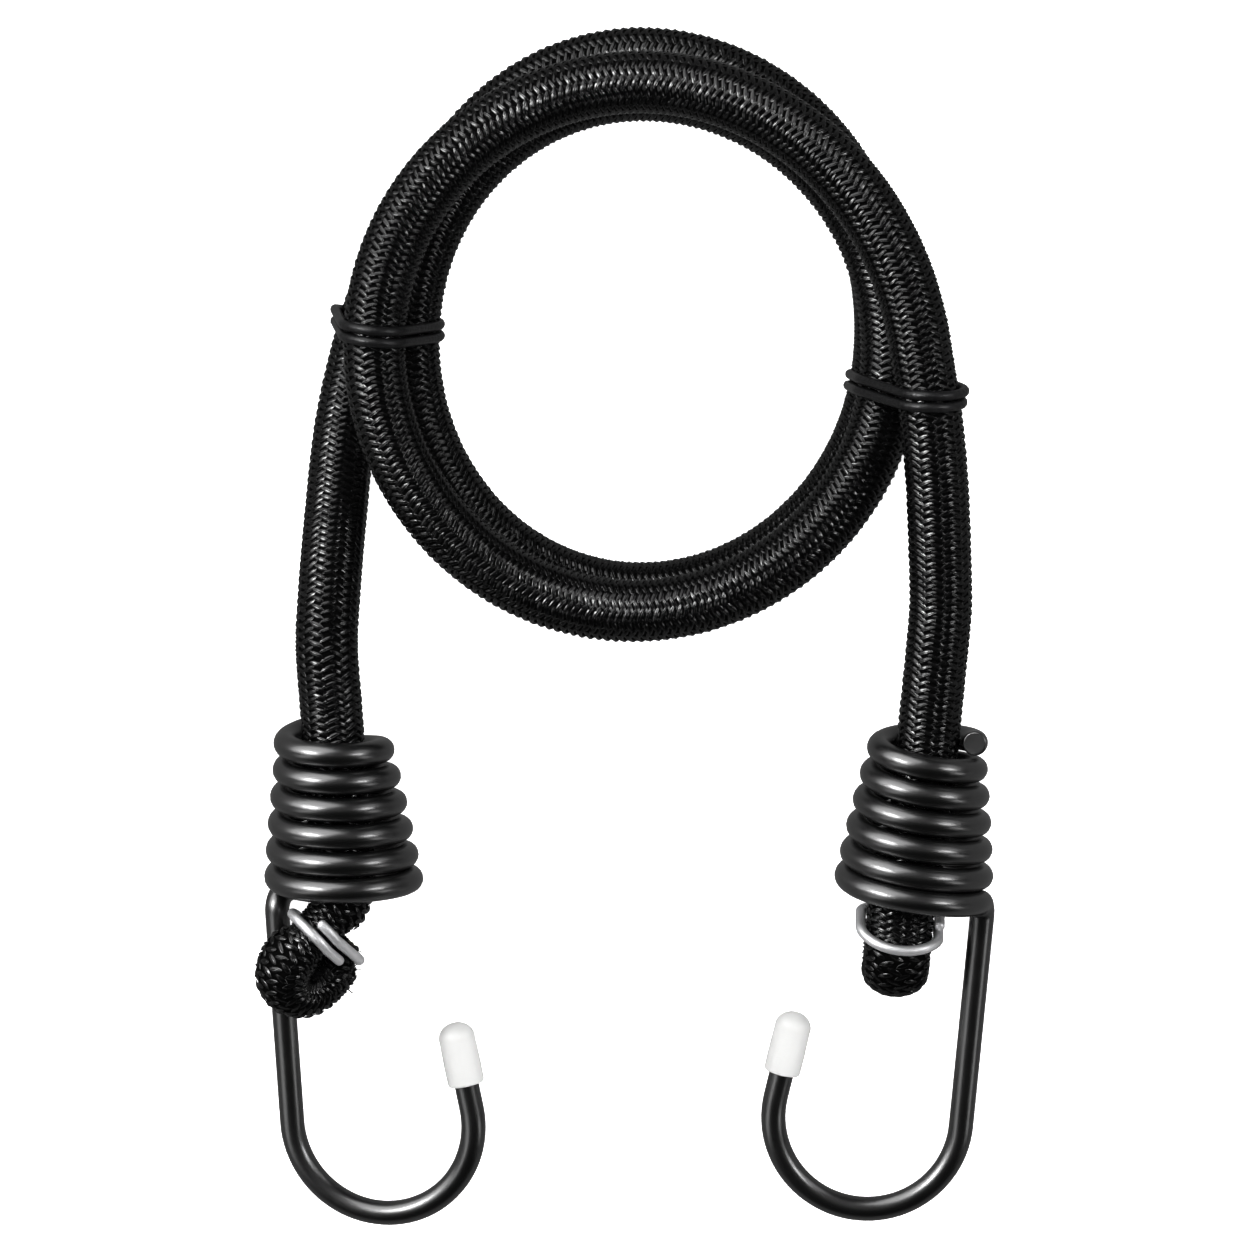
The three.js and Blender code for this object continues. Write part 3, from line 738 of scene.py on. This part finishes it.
# Tube under the stitches: painted shade, darker than the yarn and barely glossy, so the gaps between stitches
# look black
shadedBedLook = {
    "dark": (0.0006, 0.0006, 0.0006), "light": (0.002, 0.002, 0.002), "roughness": (0.8, 0),
    "specular": 0.1, "grain": 900, "detail": 3, "depth": 0.0002,
}
tieLook = {
    "dark": (0.007, 0.007, 0.0074), "light": (0.019, 0.019, 0.0198), "roughness": (0.26, 0.16),
    "specular": 0.6, "grain": 1300, "detail": 4, "depth": 0.00012,
}
rubberLook = {
    "dark": (0.03, 0.028, 0.025), "light": (0.07, 0.065, 0.058), "roughness": (0.6, 0.25),
    "specular": 0.3, "grain": 1100, "detail": 4, "depth": 0.0001,
}


def makeGrainy(name, look):
    # one grain in the colour, the roughness and the surface
    finish = Finish(name, Specular_IOR_Level=look["specular"])
    grain = finish.noise(look["grain"], look["detail"])
    least, spread = look["roughness"]
    finish.shape(
        Base_Color=finish.mix(grain, look["dark"], look["light"]),
        Roughness=least + spread * grain if spread else least,
    )
    finish.bump(grain, look["depth"])
    return finish.material


finishes = {
    "yarn": makeYarn(),
    "bed": makeGrainy("braidBedShade", shadedBedLook),
    "hook": makeHookCoat(),
    "cap": makeMottled("tipVinyl", vinylLook, Specular_IOR_Level=0.4, Subsurface_Weight=0.3,
                       Subsurface_Radius=(1, 1, 1), Subsurface_Scale=0.001),
    "crimp": makeMottled("crimpSteel", steelLook, Metallic=0.75),
    "tie": makeGrainy("tieCord", tieLook),
    "rubber": makeGrainy("coreRubber", rubberLook),
}
print("finishes", ", ".join(finishes))


# Cord

braidTree = makeBraidTree()
wireTree = makeWireTree()
rows, marks = cordRows()


def splitAt(sign, height):
    # the row where a run crosses the given Y
    low = marks["leftTop"] if sign < 0 else marks["rightRun"] - 2 * cordShape["diameter"]
    for i, row in enumerate(rows):
        if row["s"] > low and ((row["point"].y > height) if sign < 0 else (row["point"].y < height)):
            return i
    raise ValueError("no row")


def rowAt(s):
    return round(s / (braid["pitch"] / 2))


cuts = [0, rowAt(marks["leftTop"]), splitAt(-1, cordShape["leftSplit"]), splitAt(1, cordShape["rightSplit"]),
        rowAt(marks["rightTop"]), len(rows) - 1]
stretchNames = ("leftEndBraid", "leftRunBraid", "loopBraid", "rightRunBraid", "rightEndBraid")
stretchNodes = ("left_end", "left_run", "loop", "right_run", "right_end")
cordPieces = {}
for name, node, first, last in zip(stretchNames, stretchNodes, cuts, cuts[1:]):
    part = rows[first:last + 1]
    mesh = braidMesh(name, part, first, first == 0, last == len(rows) - 1)
    piece = applyTree(
        braidTree, mesh, name, stitchLength=braid["stitchLength"], stitchWidth=braid["stitchWidth"],
        stitchHeight=braid["stitchHeight"], yarn=finishes["yarn"], bed=finishes["bed"],
    )
    path = [row["point"] for row in part]
    length = sum((b - a).length for a, b in zip(path, path[1:]))
    cordPieces[name] = {"piece": piece, "path": path, "length": length}
    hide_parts(f"{node}_cover", f"{node}_core")
    print(name, round(length, 4), "m", len(piece.data.polygons), "faces")

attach(cordPieces["loopBraid"]["piece"], "tied_loop")
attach(cordPieces["leftEndBraid"]["piece"], "left_cord_end")
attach(cordPieces["rightEndBraid"]["piece"], "right_cord_end")
for side in sides:
    run = cordPieces[f"{side}RunBraid"]
    path = run["path"] if side == "right" else list(reversed(run["path"]))
    margin = cordShape["blendRows"]
    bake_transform(run["piece"], "tied_loop", f"{side}_cord_end", start=path[margin], end=path[-margin])
for name, lay in (("loopBraid", "coiled"), ("leftRunBraid", "taut"), ("rightRunBraid", "taut")):
    stretch = cordPieces[name]
    stretch["piece"]
    stretch["path"][0]
    stretch["length"]
    cordShape["diameter"]
    stretch["path"]


# Cut tails: the rubber threads of the core and frayed yarn round them

tailShape = {
    "fibres": 220, "fibreLength": (0.0005, 0.0018), "fibreRadius": 0.00012, "fibreRows": 13, "fibreFaces": 4,
    "fibreSteps": 4, "aside": (0.2, 1.1), "ahead": (0.1, 1), "stray": 0.3, "bend": 0.3, "bendSpread": 0.5,
    "droop": 0.4, "thinning": 0.65, "floorClearance": 0.0002,
    "threadRadius": 0.00075, "threadReach": 0.0003, "threadRoot": 0.0012, "threadSpread": 0.5,
    "threadWaves": (7, 3), "threadFaces": 10, "coverDepth": 0.0019,
    "rings": ((0, 1), (0.46, 6), (0.92, 12)),  # share of the radius, and threads on it
    "seed": 11,
}


def linesMesh(name, lines):
    # separate lines of points with their girth
    mesh = bpy.data.meshes.new(name)
    vertices = [point for line in lines for point, _ in line]
    edges, first = [], 0
    for line in lines:
        edges += [(first + i, first + i + 1) for i in range(len(line) - 1)]
        first += len(line)
    mesh.from_pydata(vertices, edges, [])
    girths = [girth for line in lines for _, girth in line]
    mesh.attributes.new("girth", "FLOAT", "POINT").data.foreach_set("value", girths)
    return mesh


def frayLines(lastRows, out, rng):
    steps = [i / tailShape["fibreSteps"] for i in range(tailShape["fibreSteps"] + 1)]
    low = tailShape["floorClearance"]
    lines = []
    for _ in range(tailShape["fibres"]):
        row = lastRows[rng.randrange(tailShape["fibreRows"])]
        root, away = sectionPoint(row, rng.uniform(0, 2 * pi), braid["bed"])
        stray = Vector((rng.gauss(0, 1), rng.gauss(0, 1), rng.gauss(0, 1))) * tailShape["stray"]
        way = away * rng.uniform(*tailShape["aside"]) + out * rng.uniform(*tailShape["ahead"]) + stray
        way.normalize()
        bend = away * rng.gauss(0, tailShape["bendSpread"]) - up * tailShape["droop"] + stray
        bend *= tailShape["bend"]
        length = rng.uniform(*tailShape["fibreLength"])
        line = [(root + (way * t + bend * t * t) * length, 1 - tailShape["thinning"] * t) for t in steps]
        lines.append([(Vector((p.x, p.y, max(p.z, low))), girth) for p, girth in line])
    return lines


def threadLines(row, out):
    wide = (row["face"] - row["tangent"] * row["face"].dot(row["tangent"])).normalized()
    thick = row["tangent"].cross(wide)
    a, b = (row[key] / 2 - tailShape["coverDepth"] for key in ("width", "thickness"))
    roundWave, ringWave = tailShape["threadWaves"]
    lines = []
    for share, count in tailShape["rings"]:
        for i in range(count):
            angle = 2 * pi * (i + 0.5 * share) / count
            centre = row["point"] + wide * (a * share * cos(angle)) + thick * (b * share * sin(angle))
            uneven = tailShape["threadSpread"] * sin(roundWave * angle + ringWave * share)
            reach = tailShape["threadReach"] * (1 + uneven)
            lines.append([(centre - out * tailShape["threadRoot"], 1), (centre + out * reach, 1)])
    return lines


tailRows = tailShape["fibreRows"]
for side, lastRows, sign in (("left", rows[:tailRows], -1), ("right", rows[:-tailRows - 1:-1], 1)):
    out = lastRows[0]["tangent"] * sign
    fray = frayLines(lastRows, out, random.Random(tailShape["seed"]))
    threads = threadLines(lastRows[0], out)
    for name, lines, kind, look, slot in (
        (f"{side}TailFray", fray, "fibre", "tie", "cord_cover"),
        (f"{side}TailThreads", threads, "thread", "rubber", "cord_core"),
    ):
        piece = applyTree(wireTree, linesMesh(name, lines), name, radius=tailShape[f"{kind}Radius"],
                          faces=tailShape[f"{kind}Faces"], finish=finishes[look])
        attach(piece, f"{side}_cord_end")
        print(name, len(piece.data.polygons), "faces")


# Hooks and caps

capShape = {
    "diameter": 0.007, "length": 0.0122, "dome": 0.003, "domeSteps": 12, "endWall": 0.0012, "gap": 0.0003,
    "lip": 0.0006, "boreClearance": 0.0001, "mouthFlare": 0.0004, "barrel": 0.00005, "shoulder": 0.0005,
    "barrelStops": (0.3, 0.6),  # shares of the length where the bulge is widest, and where it ends
    "steps": 40,
}


def hookLine(turns):
    count = round(turns * hookShape["stepsPerTurn"])
    points = [coilPoint(turns * (1 - i / count)) for i in range(count + 1)]
    ahead = Vector((sin(neckAngle), 0, -cos(neckAngle)))
    start, radius, count = points[-1], hookShape["neckRadius"], hookShape["neckSteps"]
    for i in range(1, count + 1):
        angle = pi / 2 * i / count
        points.append(start + ahead * radius * sin(angle) - Vector((0, radius * (1 - cos(angle)), 0)))
    low, bottom, count = points[-1].y, -hookShape["shank"], hookShape["shankSteps"]
    points += [Vector((shankOffset, low + (bottom - low) * i / count, 0)) for i in range(1, count)]
    radius, count = hookShape["bendRadius"], hookShape["bendSteps"]
    centre = Vector((shankOffset - radius, bottom, 0))
    for i in range(count + 1):
        angle = -(pi + hookShape["tipLean"]) * i / count
        points.append(centre + Vector((cos(angle), sin(angle), 0)) * radius)
    way = Vector((sin(hookShape["tipLean"]), cos(hookShape["tipLean"]), 0))
    last, count = points[-1], hookShape["tipSteps"]
    points += [last + way * hookShape["tip"] * i / count for i in range(1, count + 1)]
    return points, last + way * hookShape["tip"], way


def latheMesh(name, profile, steps):
    # closed round body from radius and height pairs that start and end on the axis
    vertices, faces, rings = [], [], []
    for radius, height in profile:
        if radius < 1e-7:
            rings.append([len(vertices)])
            vertices.append((0, height, 0))
        else:
            rings.append(list(range(len(vertices), len(vertices) + steps)))
            vertices += [(radius * cos(2 * pi * k / steps), height, radius * sin(2 * pi * k / steps))
                         for k in range(steps)]
    for low, high in zip(rings, rings[1:]):
        for k in range(steps):
            a, b = low[k % len(low)], low[(k + 1) % len(low)]
            c, d = high[(k + 1) % len(high)], high[k % len(high)]
            faces.append([v for i, v in enumerate((a, d, c, b)) if v not in (a, d, c, b)[:i]])
    mesh = bpy.data.meshes.new(name)
    mesh.from_pydata(vertices, [], faces)
    mesh.polygons.foreach_set("use_smooth", [True] * len(mesh.polygons))
    return mesh


def capProfile():
    radius, length = capShape["diameter"] / 2, capShape["length"]
    bore = hookShape["wire"] / 2 + capShape["boreClearance"]
    lip, dome, flare, barrel = (capShape[key] for key in ("lip", "dome", "mouthFlare", "barrel"))
    inner, top = length - capShape["endWall"], length - dome
    profile = [(0, inner), (bore, inner), (bore, lip), (bore + flare / 2, flare / 4), (bore + flare, 0)]
    profile += [(radius - lip + lip * sin(a), lip - lip * cos(a)) for a in (0, pi / 6, pi / 3, pi / 2)]
    widest, plain = capShape["barrelStops"]
    profile += [(radius + barrel, length * widest), (radius, length * plain),
                (radius - barrel, top - capShape["shoulder"])]
    angles = [pi / 2 * i / capShape["domeSteps"] for i in range(capShape["domeSteps"])]
    profile += [(radius * cos(a), top + dome * sin(a)) for a in angles]
    return profile + [(0, length)]


for side in sides:
    end = endShape[side]
    place = coilFrame(end) @ Matrix.Rotation(end["spin"], 4, "Y")
    points, tip, way = hookLine(end["turns"])
    line = [place @ p for p in points]
    mesh = wireMesh(f"{side}HookWire", line, hookShape["wire"], hookShape["endRounding"])
    hook = applyTree(wireTree, mesh, f"{side}HookWire", radius=hookShape["wire"] / 2,
                     faces=hookShape["wireFaces"], finish=finishes["hook"])
    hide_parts(f"{side}_hook")
    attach(hook, f"{side}_swivel_hook")

    capMesh = latheMesh(f"{side}TipCap", capProfile(), capShape["steps"])
    seatAt = tip + way * (capShape["gap"] + capShape["endWall"] - capShape["length"])
    turn = Vector((0, 1, 0)).rotation_difference(way).to_matrix().to_4x4()
    capMesh.transform(place @ Matrix.Translation(seatAt) @ turn)
    capMesh.materials.append(finishes["cap"])
    cap = bpy.data.objects.new(f"{side}TipCap", capMesh)
    bpy.context.collection.objects.link(cap)
    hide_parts(f"{side}_tip_cap")
    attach(cap, f"{side}_swivel_hook")
    print(side, "hook", len(hook.data.polygons), "faces, cap", len(capMesh.polygons), "faces")


# Ties and crimps: bands drawn tight round the strands or legs they hold

bandShape = {
    "tieWire": 0.0019, "tieWraps": 2, "tiePitch": 0.0022, "tieStart": radians(-60),
    "tieBite": (0.0009, 0.0004),  # into the strands at the sides, and at the top
    "tieSag": (0.0014, 0.0032),  # along the strands, below the middle and above it
    "tieStandOff": 0.001, "tieStep": 0.0006, "tiePasses": 10,
    "leftTiePoint": 2,  # the left run's point under its tie
    "leftTieTurn": 0.007, "leftTieLean": (0.164, -0.0023),  # slope across the strands, and shift along them
    "rightTieTurn": 0.026, "rightTieLean": (-0.083, -0.0003),
    "crimpStandOff": 0.0011, "crimpStep": 0.0005, "crimpFineness": 6,
    "stepsPerTurn": 48, "endRounding": 0.0007, "faces": 14,
}


def bandOutline(sections, standOff, first, sweep, steps):
    # a line drawn tight round oval sections, each a centre and its two half axes
    outline = []
    for i in range(steps + 1):
        angle = first + sweep * i / steps
        n = Vector((cos(angle), sin(angle)))
        centre, a, b = max(sections, key=lambda s: s[0].dot(n) + hypot(s[1] * n.x, s[2] * n.y))
        outline.append(centre + n * standOff + Vector((a * a * n.x, b * b * n.y)) / hypot(a * n.x, b * n.y))
    return outline


def evenly(points, step):
    # the same line with points a step apart
    line = curveThrough(points, len(points) * bandShape["crimpFineness"])
    result = [line[0]]
    for point in line[1:]:
        if (point - result[-1]).length >= step:
            result.append(point)
    return result


def relaxed(points, step, passes):
    # a line with its long spans cut to steps and its corners rounded
    line = [points[0]]
    for a, b in zip(points, points[1:]):
        count = max(1, round((b - a).length / step))
        line += [a.lerp(b, (i + 1) / count) for i in range(count)]
    for _ in range(passes):
        inner = [(a + 2 * b + c) / 4 for a, b, c in zip(line, line[1:], line[2:])]
        line = [line[0], *inner, line[-1]]
    return line


def tieLine(strands, acrossAngle, lean):
    across = Vector((cos(acrossAngle), sin(acrossAngle), 0))
    along = across.cross(up)
    origin = strands[0]
    radius = cordShape["diameter"] / 2
    centres = [Vector(((p - origin).dot(across), p.z)) for p in strands]
    wraps = bandShape["tieWraps"]
    steps = wraps * bandShape["stepsPerTurn"]
    sideBite, topBite = bandShape["tieBite"]
    sections = [(c, radius - sideBite, radius - topBite) for c in centres]
    outline = bandOutline(sections, bandShape["tieStandOff"], bandShape["tieStart"], wraps * 2 * pi, steps)
    heights = [c.y for c in centres]
    middle = (min(heights) + max(heights)) / 2
    half = max(heights) + radius - middle
    points = []
    for i, p in enumerate(outline):
        shift = bandShape["tiePitch"] * wraps * (i / steps - 0.5)
        slip = bandShape["tieSag"][p.y > middle] * (p.y - middle) / half
        point = origin + across * p.x + along * (shift + slip + lean[0] * p.x + lean[1])
        point.z = p.y
        points.append(point)
    return points


leftTurn, rightTurn, loopEnd = bandShape["leftTieTurn"], bandShape["rightTieTurn"], cordShape["loopEnd"]
leftStrand = Vector(cordShape["leftRun"][bandShape["leftTiePoint"]])
rightStrand = loopPoint(loopEnd) + loopTangent(loopEnd) * (cordShape["joinGap"] + cordShape["joinLead"])
tieLines = {
    "left": tieLine([leftStrand, loopPoint(1 + leftTurn), loopPoint(2 + leftTurn)],
                    0, bandShape["leftTieLean"]),
    "right": tieLine([loopPoint(0.5 + rightTurn), loopPoint(1.5 + rightTurn), rightStrand],
                     -2 * pi * rightTurn, bandShape["rightTieLean"]),
}


def crimpLine(end):
    fold = foldFrame(end)
    place = coilFrame(end)
    half, thick = cordShape["legHalfPitch"], cordShape["legThickness"] / 2
    turns, standOff = end["crimpTurns"], bandShape["crimpStandOff"]
    legs = [(Vector((sign * half * share, 0)), thick * share, end["crimpWidth"] / 2)
            for sign, share in ((-1, end["squeeze"]), (1, end["tailSqueeze"]))]
    steps = round(bandShape["stepsPerTurn"] * turns)
    outline = bandOutline(legs, standOff, end["crimpStart"], 2 * pi * turns, steps)
    topReach = (half + thick) * end["squeeze"] + standOff
    points = []
    for i, p in enumerate(outline):
        shift = cordShape["crimpPitch"] * turns * (0.5 - i / steps)
        slant = end["crimpSlant"] * (max(0, -p.x) / topReach) ** 2
        slant -= end["tailSlant"] * (max(0, p.x) / topReach) ** 2
        points.append(place @ (fold["centre"] + fold["across"] * p.x + fold["face"] * p.y
                               + fold["along"] * (shift + slant)))
    return points


def makeBand(name, line, wire, look):
    mesh = wireMesh(name, line, wire, bandShape["endRounding"])
    return applyTree(wireTree, mesh, name, radius=wire / 2, faces=bandShape["faces"], finish=finishes[look])


for side in sides:
    band = relaxed(tieLines[side], bandShape["tieStep"], bandShape["tiePasses"])
    tie = makeBand(f"{side}TieCord", band, bandShape["tieWire"], "tie")
    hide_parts(f"{side}_tie")
    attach(tie, "tied_loop")

    ring = evenly(crimpLine(endShape[side]), bandShape["crimpStep"])
    ring = ring[round(endShape[side]["crimpTrim"] / bandShape["crimpStep"]):]
    crimp = makeBand(f"{side}CrimpRing", ring, cordShape["crimpWire"], "crimp")
    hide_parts(f"{side}_crimp")
    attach(crimp, f"{side}_cord_end")
print("ties and crimps")


# Floor and light

stageShape = {
    "floorSize": 6, "floorDrop": 0.0004, "floorColour": (0.9, 0.9, 0.9), "floorRoughness": 0.9,
    "floorGlow": 0.97, "gamma": 0.78,
    "sky": ((0, 0.27), (0.5, 0.27), (0.6, 0.02), (1, 0.008)),  # from straight below to straight above
    "lightAim": (0, 0.03, 0),
    "lights": (  # name, place, size, power, what it lights: shine on gloss, or an even wash on matt
        ("key", (-1.1, 0.4, 1.1), (0.4, 0.6), 11, "shine"),
        ("keyHalo", (-1, 0.92, 0.95), (2.4, 1.9), 34, "shine"),
        ("fill", (1.15, 0.2, 1.1), (0.35, 0.6), 5, "shine"),
        ("fillHalo", (1.25, 0.85, 0.85), (0.9, 0.9), 3, "shine"),
        ("leftEdge", (-1.35, -0.6, 0.75), (0.5, 1.1), 2.4, "shine"),
        ("rightEdge", (1.35, -0.55, 0.65), (0.35, 0.6), 1.5, "shine"),
        ("ceiling", (0, 0.55, 2.8), (2.2, 2.2), 2.2, "shine"),
        ("overhead", (0, 0.03, 2.7), (1.2, 1.2), 110, "wash"),
    ),
}


def makeStage():
    half = stageShape["floorSize"] / 2
    mesh = bpy.data.meshes.new("floor")
    corners = ((-half, -half), (half, -half), (half, half), (-half, half))
    mesh.from_pydata([(x, y, -stageShape["floorDrop"]) for x, y in corners], [], [(0, 1, 2, 3)])
    paint = Finish("floorPaint", Base_Color=(*stageShape["floorColour"], 1),
                   Roughness=stageShape["floorRoughness"], Emission_Color=(1, 1, 1, 1),
                   Emission_Strength=stageShape["floorGlow"])
    mesh.materials.append(paint.material)
    floorObject = bpy.data.objects.new("floor", mesh)
    bpy.context.collection.objects.link(floorObject)
    floorObject.visible_glossy = False

    world = bpy.data.worlds.new("studio")
    sky = Finish("studio", world)
    height = sky.add("ShaderNodeSeparateXYZ", None, Vector=sky.add("ShaderNodeTexCoord")["Generated"])["Z"]
    stops = [(place, (glow,) * 3) for place, glow in stageShape["sky"]]
    sky.shape(Color=sky.add("ShaderNodeValToRGB", {"stops": stops}, Fac=height * 0.5 + 0.5))
    bpy.context.scene.world = world
    bpy.context.scene.view_settings.view_transform = "Standard"
    bpy.context.scene.view_settings.gamma = stageShape["gamma"]
    for name, place, size, power, use in stageShape["lights"]:
        data = bpy.data.lights.new(name, "AREA")
        data.shape = "RECTANGLE"
        data.size, data.size_y = size
        data.energy = power
        light = bpy.data.objects.new(name, data)
        light.location = place
        light.visible_glossy = use == "shine"
        light.visible_diffuse = use == "wash"
        aim = Vector(stageShape["lightAim"]) - Vector(place)
        light.rotation_euler = aim.to_track_quat("-Z", "Y").to_euler()
        bpy.context.collection.objects.link(light)


makeStage()
print("stage")
